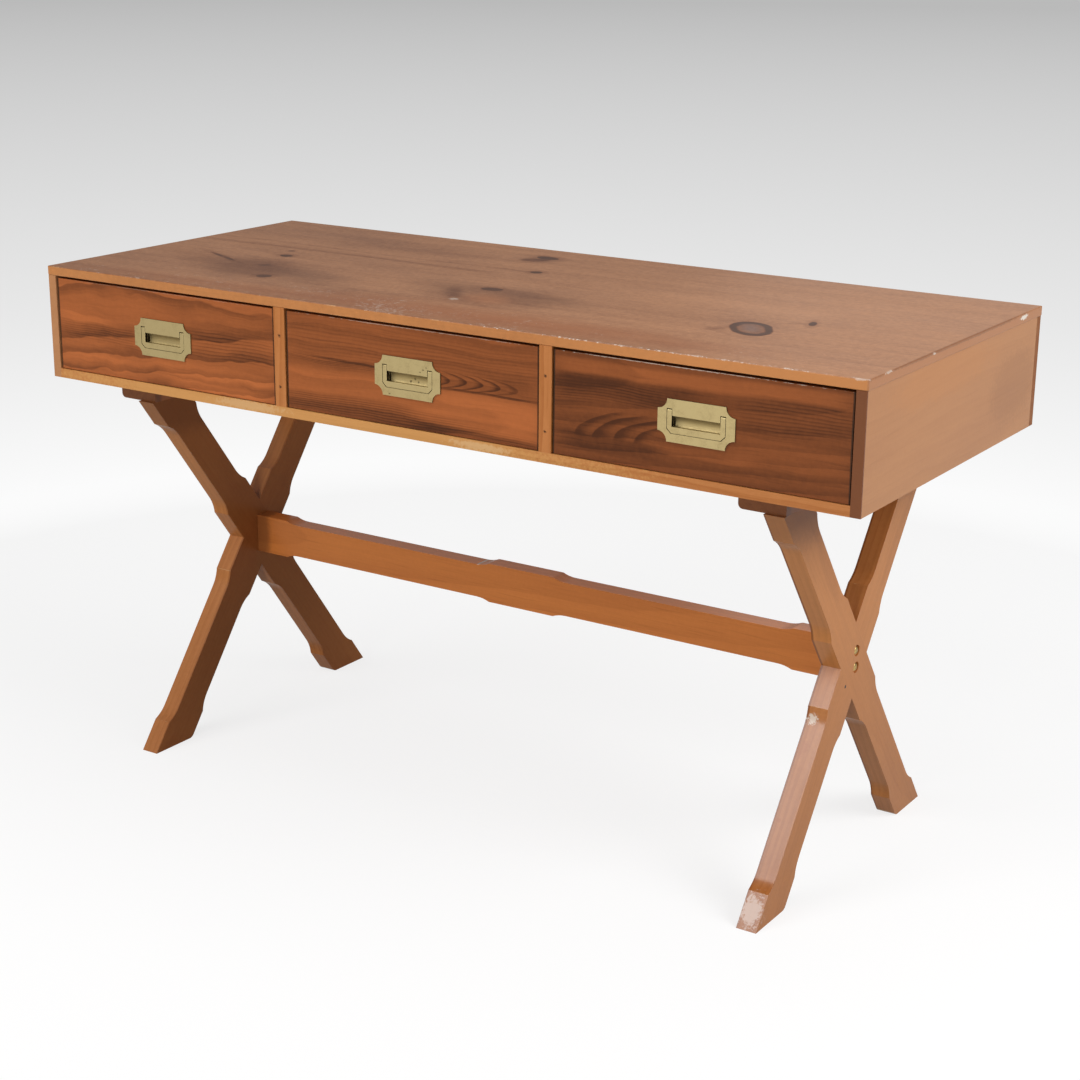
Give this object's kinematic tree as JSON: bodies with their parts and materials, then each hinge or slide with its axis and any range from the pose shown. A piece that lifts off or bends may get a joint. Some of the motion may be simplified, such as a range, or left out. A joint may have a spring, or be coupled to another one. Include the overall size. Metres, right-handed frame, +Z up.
{
  "type": "campaign desk",
  "caption": "Long pine writing desk with a row of shallow drawers under the top, recessed brass bail pulls, and crossed-leg trestles joined by a stretcher.",
  "frame": {"origin": "on the floor under the middle of the desk", "axes": "+X to the right along the desk, the drawers open towards -Y, +Z up"},
  "size_m": [1.32, 0.56, 0.75],
  "materials": {
    "top_pine": "waxed",
    "case_pine": "waxed",
    "front_pine": "waxed, reddish",
    "box_pine": "bare",
    "frame_pine": "waxed",
    "brass": "aged, dull",
    "steel": "dull"
  },
  "bodies": {
    "desk": {"top_board": "top_pine", "drawer_stops": "box_pine", "facing_nails": "steel", "back_panel_nails": "steel", "stretcher": "frame_pine", "bottom_board": "case_pine", "back_panel": "case_pine", "left_side_panel": "case_pine", "right_side_panel": "case_pine", "left_divider": "case_pine", "right_divider": "case_pine", "left_divider_facing": "case_pine", "right_divider_facing": "case_pine", "left_front_top_leg": "frame_pine", "left_back_top_leg": "frame_pine", "left_batten": "frame_pine", "left_batten_screws": "steel", "left_leg_screws": "steel", "left_stretcher_bolts": "brass", "left_barrel_nuts": "steel", "right_front_top_leg": "frame_pine", "right_back_top_leg": "frame_pine", "right_batten": "frame_pine", "right_batten_screws": "steel", "right_leg_screws": "steel", "right_stretcher_bolts": "brass", "right_barrel_nuts": "steel"},
    "left_drawer": {"left_drawer_front": "front_pine", "left_drawer_left_side": "box_pine", "left_drawer_right_side": "box_pine", "left_drawer_back": "box_pine", "left_drawer_bottom": "box_pine", "left_pull_plate": "brass", "left_pull_pins": "steel", "left_pull_screws": "steel"},
    "left_bail": {"left_pull_bail": "brass"},
    "middle_drawer": {"middle_drawer_front": "front_pine", "middle_drawer_left_side": "box_pine", "middle_drawer_right_side": "box_pine", "middle_drawer_back": "box_pine", "middle_drawer_bottom": "box_pine", "middle_pull_plate": "brass", "middle_pull_pins": "steel", "middle_pull_screws": "steel"},
    "middle_bail": {"middle_pull_bail": "brass"},
    "right_drawer": {"right_drawer_front": "front_pine", "right_drawer_left_side": "box_pine", "right_drawer_right_side": "box_pine", "right_drawer_back": "box_pine", "right_drawer_bottom": "box_pine", "right_pull_plate": "brass", "right_pull_pins": "steel", "right_pull_screws": "steel"},
    "right_bail": {"right_pull_bail": "brass"}
  },
  "joints": [
    {"name": "left_drawer_slide", "type": "slide", "parent": "desk", "child": "left_drawer", "axis": [0, -1, 0], "range_m": [0, 0.36]},
    {"name": "left_bail_swing", "type": "hinge", "parent": "left_drawer", "child": "left_bail", "pos_m": [-0.4362, -0.2775, 0.67765], "axis": [-1, 0, 0], "range_deg": [0, 90]},
    {"name": "middle_drawer_slide", "type": "slide", "parent": "desk", "child": "middle_drawer", "axis": [0, -1, 0], "range_m": [0, 0.36]},
    {"name": "middle_bail_swing", "type": "hinge", "parent": "middle_drawer", "child": "middle_bail", "pos_m": [0, -0.2775, 0.67765], "axis": [-1, 0, 0], "range_deg": [0, 90]},
    {"name": "right_drawer_slide", "type": "slide", "parent": "desk", "child": "right_drawer", "axis": [0, -1, 0], "range_m": [0, 0.36]},
    {"name": "right_bail_swing", "type": "hinge", "parent": "right_drawer", "child": "right_bail", "pos_m": [0.4362, -0.2775, 0.67765], "axis": [-1, 0, 0], "range_deg": [0, 90]}
  ]
}
